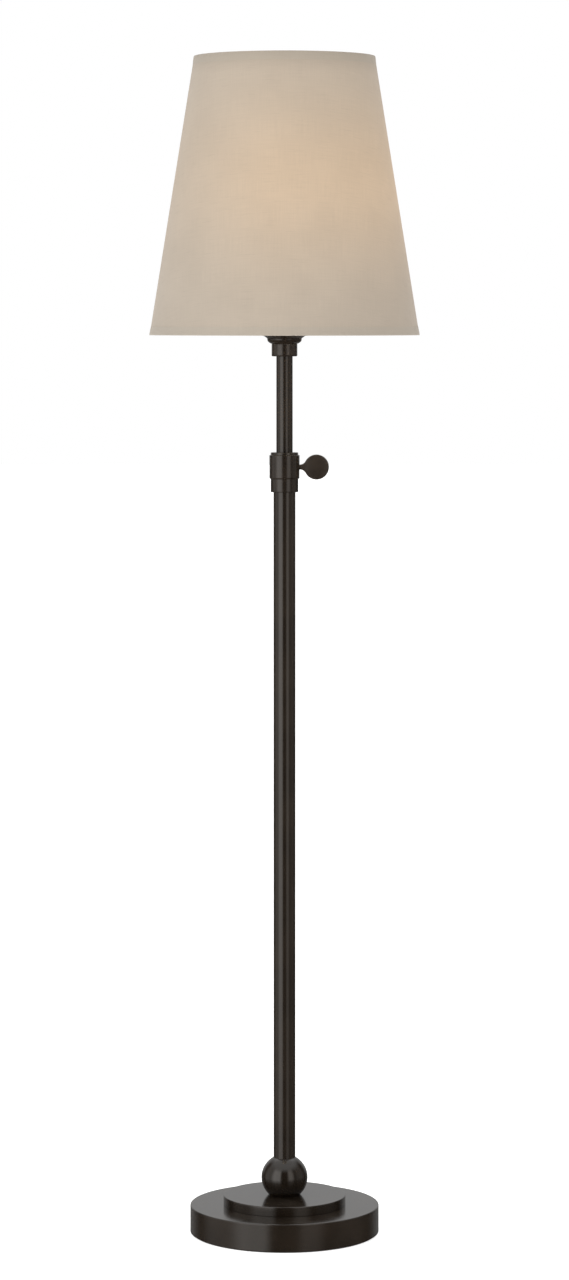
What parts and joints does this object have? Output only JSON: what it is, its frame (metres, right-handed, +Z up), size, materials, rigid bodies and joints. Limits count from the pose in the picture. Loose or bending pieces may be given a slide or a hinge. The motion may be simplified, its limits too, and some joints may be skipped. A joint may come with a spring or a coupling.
{
  "type": "floor lamp",
  "caption": "Adjustable-height floor lamp with a round weighted base, telescoping column, thumbscrew clamp and tapered fabric shade.",
  "frame": {"origin": "on the column's axis, at the underside of the base's felt", "axes": "+Z up the column, +X out along the thumbscrew, +Y to the rear, where the mains lead enters the base"},
  "size_m": [0.254, 0.254, 1.1145],
  "materials": {
    "bronze": "dark oil-rubbed bronze, half gloss",
    "iron": "rough casting",
    "steel": "zinc plated",
    "brass": "plain turned and pressed",
    "felt": "pressed felt",
    "nylon": "natural moulding",
    "phenolic": "moulded, black brown",
    "card": "pressed insulating card",
    "lead": "brown insulation",
    "bulb_glass": "frosted, lit warm white",
    "linen": "light natural linen weave",
    "linen_tape": "folded linen tape",
    "styrene": "white translucent sheet"
  },
  "bodies": {
    "root": {"base_shell": "bronze", "base_step": "bronze", "base_weight": "iron", "base_felt": "felt", "cord_bushing": "phenolic", "base_washer": "steel", "base_nut": "brass", "base_rod": "steel", "base_ball": "bronze", "tube_foot_plug": "steel", "lower_tube": "bronze", "column_ferrule": "bronze", "clamp_collar": "bronze", "guide_bush": "nylon", "fixed_lead": "lead"},
    "carriage": {"glide_bush": "nylon"},
    "upper_column": {"upper_tube": "bronze", "stop_ring": "brass", "end_cap": "brass", "tube_top_plug": "steel", "neck_coupler": "bronze", "neck_rod": "steel", "socket_cup": "bronze", "cup_spacer": "brass", "harp_saddle": "brass", "harp_sleeve_left": "brass", "harp_sleeve_right": "brass", "harp": "brass", "harp_seat": "brass", "finial": "bronze", "socket_nut": "brass", "socket_cap": "brass", "socket_shell": "brass", "socket_liner": "card", "socket_core": "phenolic", "screw_shell": "brass", "centre_contact": "brass", "terminal_left": "brass", "terminal_right": "brass", "tail_left": "lead", "tail_right": "lead", "moving_lead": "lead", "bulb_tip": "brass", "bulb_insulator": "phenolic", "bulb_cap": "brass", "bulb_glass": "bulb_glass", "shade_spider": "steel", "shade_ring": "steel", "shade_liner": "styrene", "shade_fabric": "linen", "shade_trim_top": "linen_tape", "shade_trim_bottom": "linen_tape"},
    "clamp_pad": {"clamp_pad": "brass"},
    "thumbscrew": {"thumbscrew": "bronze"},
    "switch_key": {"switch_key": "phenolic"}
  },
  "joints": [
    {"name": "height_slide", "type": "slide", "parent": "root", "child": "carriage", "axis": [0, 0, 1], "range_m": [-0.088, 0.4]},
    {"name": "column_swivel", "type": "hinge", "parent": "carriage", "child": "upper_column", "pos_m": [0, 0, 0.3], "axis": [0, 0, 1], "range_deg": [-180, 180]},
    {"name": "clamp_pad_slide", "type": "slide", "parent": "root", "child": "clamp_pad", "axis": [1, 0, 0], "range_m": [0, 0.002]},
    {"name": "thumbscrew_turn", "type": "hinge", "parent": "clamp_pad", "child": "thumbscrew", "pos_m": [0, 0, 0.73102], "axis": [1, 0, 0], "range_deg": [0, 720]},
    {"name": "switch_key_turn", "type": "hinge", "parent": "upper_column", "child": "switch_key", "pos_m": [0, 0, 0.88422], "axis": [0, -1, 0], "continuous": true}
  ],
  "couplings": [
    {"joint": "thumbscrew_turn", "follows": "clamp_pad_slide", "rad_per_m": 6283.2}
  ]
}
